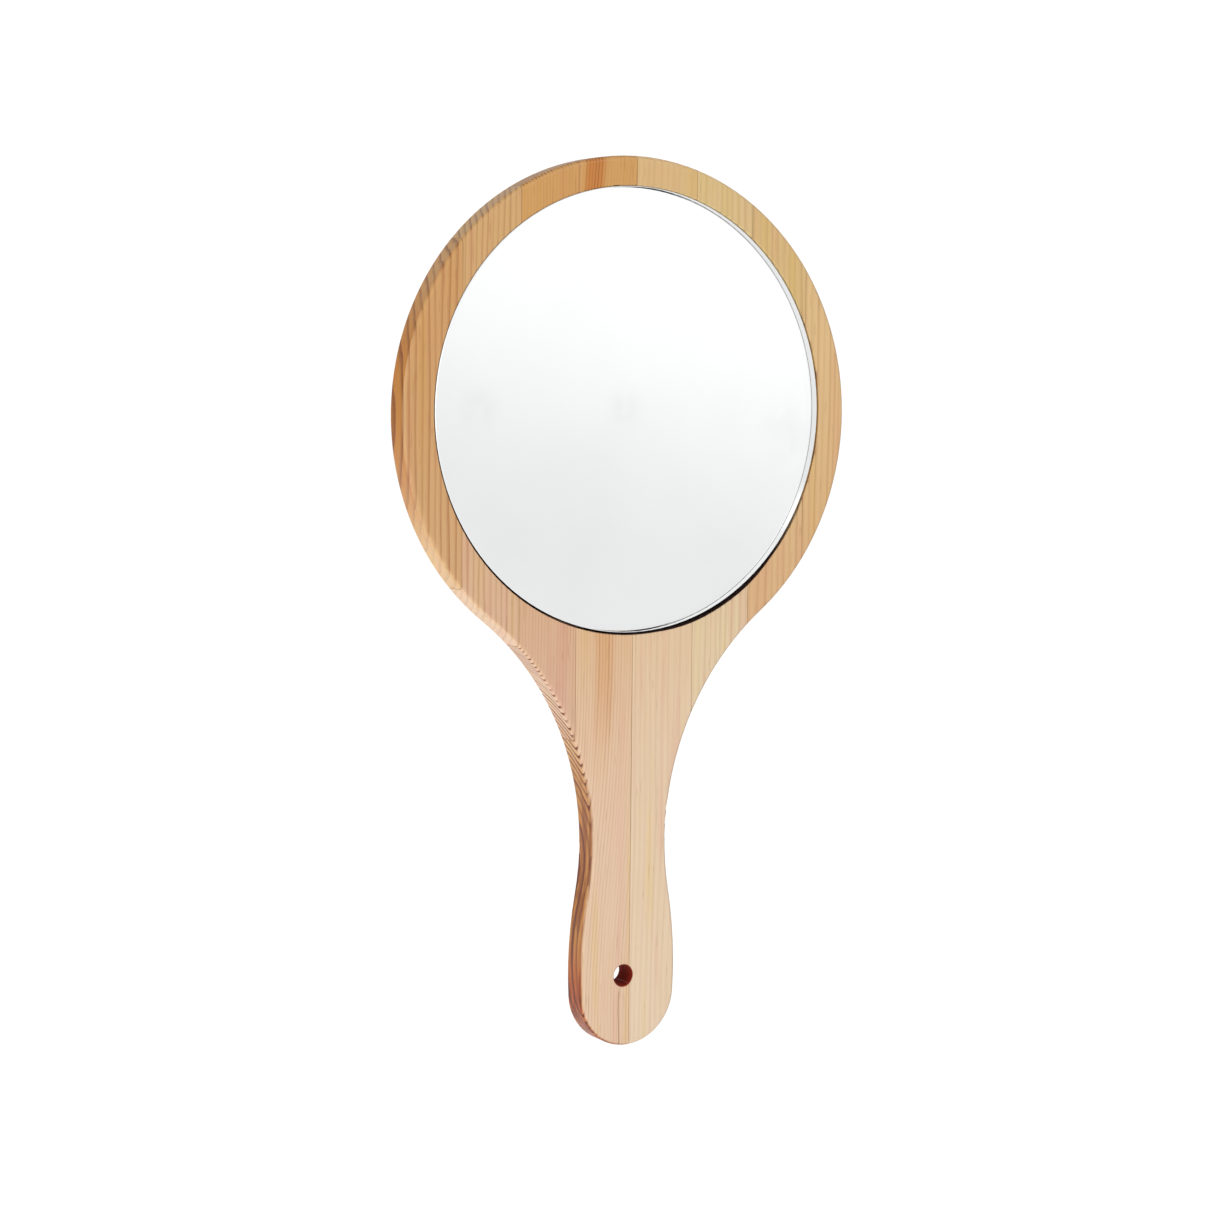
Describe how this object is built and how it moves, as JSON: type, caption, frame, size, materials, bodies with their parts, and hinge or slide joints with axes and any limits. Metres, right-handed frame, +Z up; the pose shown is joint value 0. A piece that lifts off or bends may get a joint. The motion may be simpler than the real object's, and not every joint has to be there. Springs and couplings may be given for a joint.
{
  "type": "hand mirror",
  "caption": "Hand-held salon mirror: a round flat glass set flush in an edge-glued pine paddle, with a drilled hanging hole near the end of the handle.",
  "frame": {"origin": "centre of the round head, on the flat back face", "axes": "+Z up the handle to the head, -Y out of the glass towards the user, +X to the right seen from the glass side"},
  "size_m": [0.173, 0.0095, 0.3029],
  "materials": {
    "pine": "sanded pine under a thin satin clear coat",
    "wood_glue": "cured amber wood glue, sanded flush",
    "foam_tape": "white closed-cell foam tape",
    "backing_paint": "grey mirror backing paint",
    "silver": "silver film behind the glass",
    "glass": "clear float glass with an arrised edge"
  },
  "bodies": {
    "root": {"backing_paint": "backing_paint", "foam_tape_bottom": "foam_tape", "foam_tape_left": "foam_tape", "foam_tape_right": "foam_tape", "foam_tape_top": "foam_tape", "glass_disc": "glass", "glue_line_1": "wood_glue", "glue_line_2": "wood_glue", "glue_line_3": "wood_glue", "glue_line_4": "wood_glue", "glue_line_5": "wood_glue", "glue_line_6": "wood_glue", "glue_line_7": "wood_glue", "pine_stave_1": "pine", "pine_stave_2": "pine", "pine_stave_3": "pine", "pine_stave_4": "pine", "pine_stave_5": "pine", "pine_stave_6": "pine", "pine_stave_7": "pine", "pine_stave_8": "pine", "silver_film": "silver"}
  },
  "joints": []
}
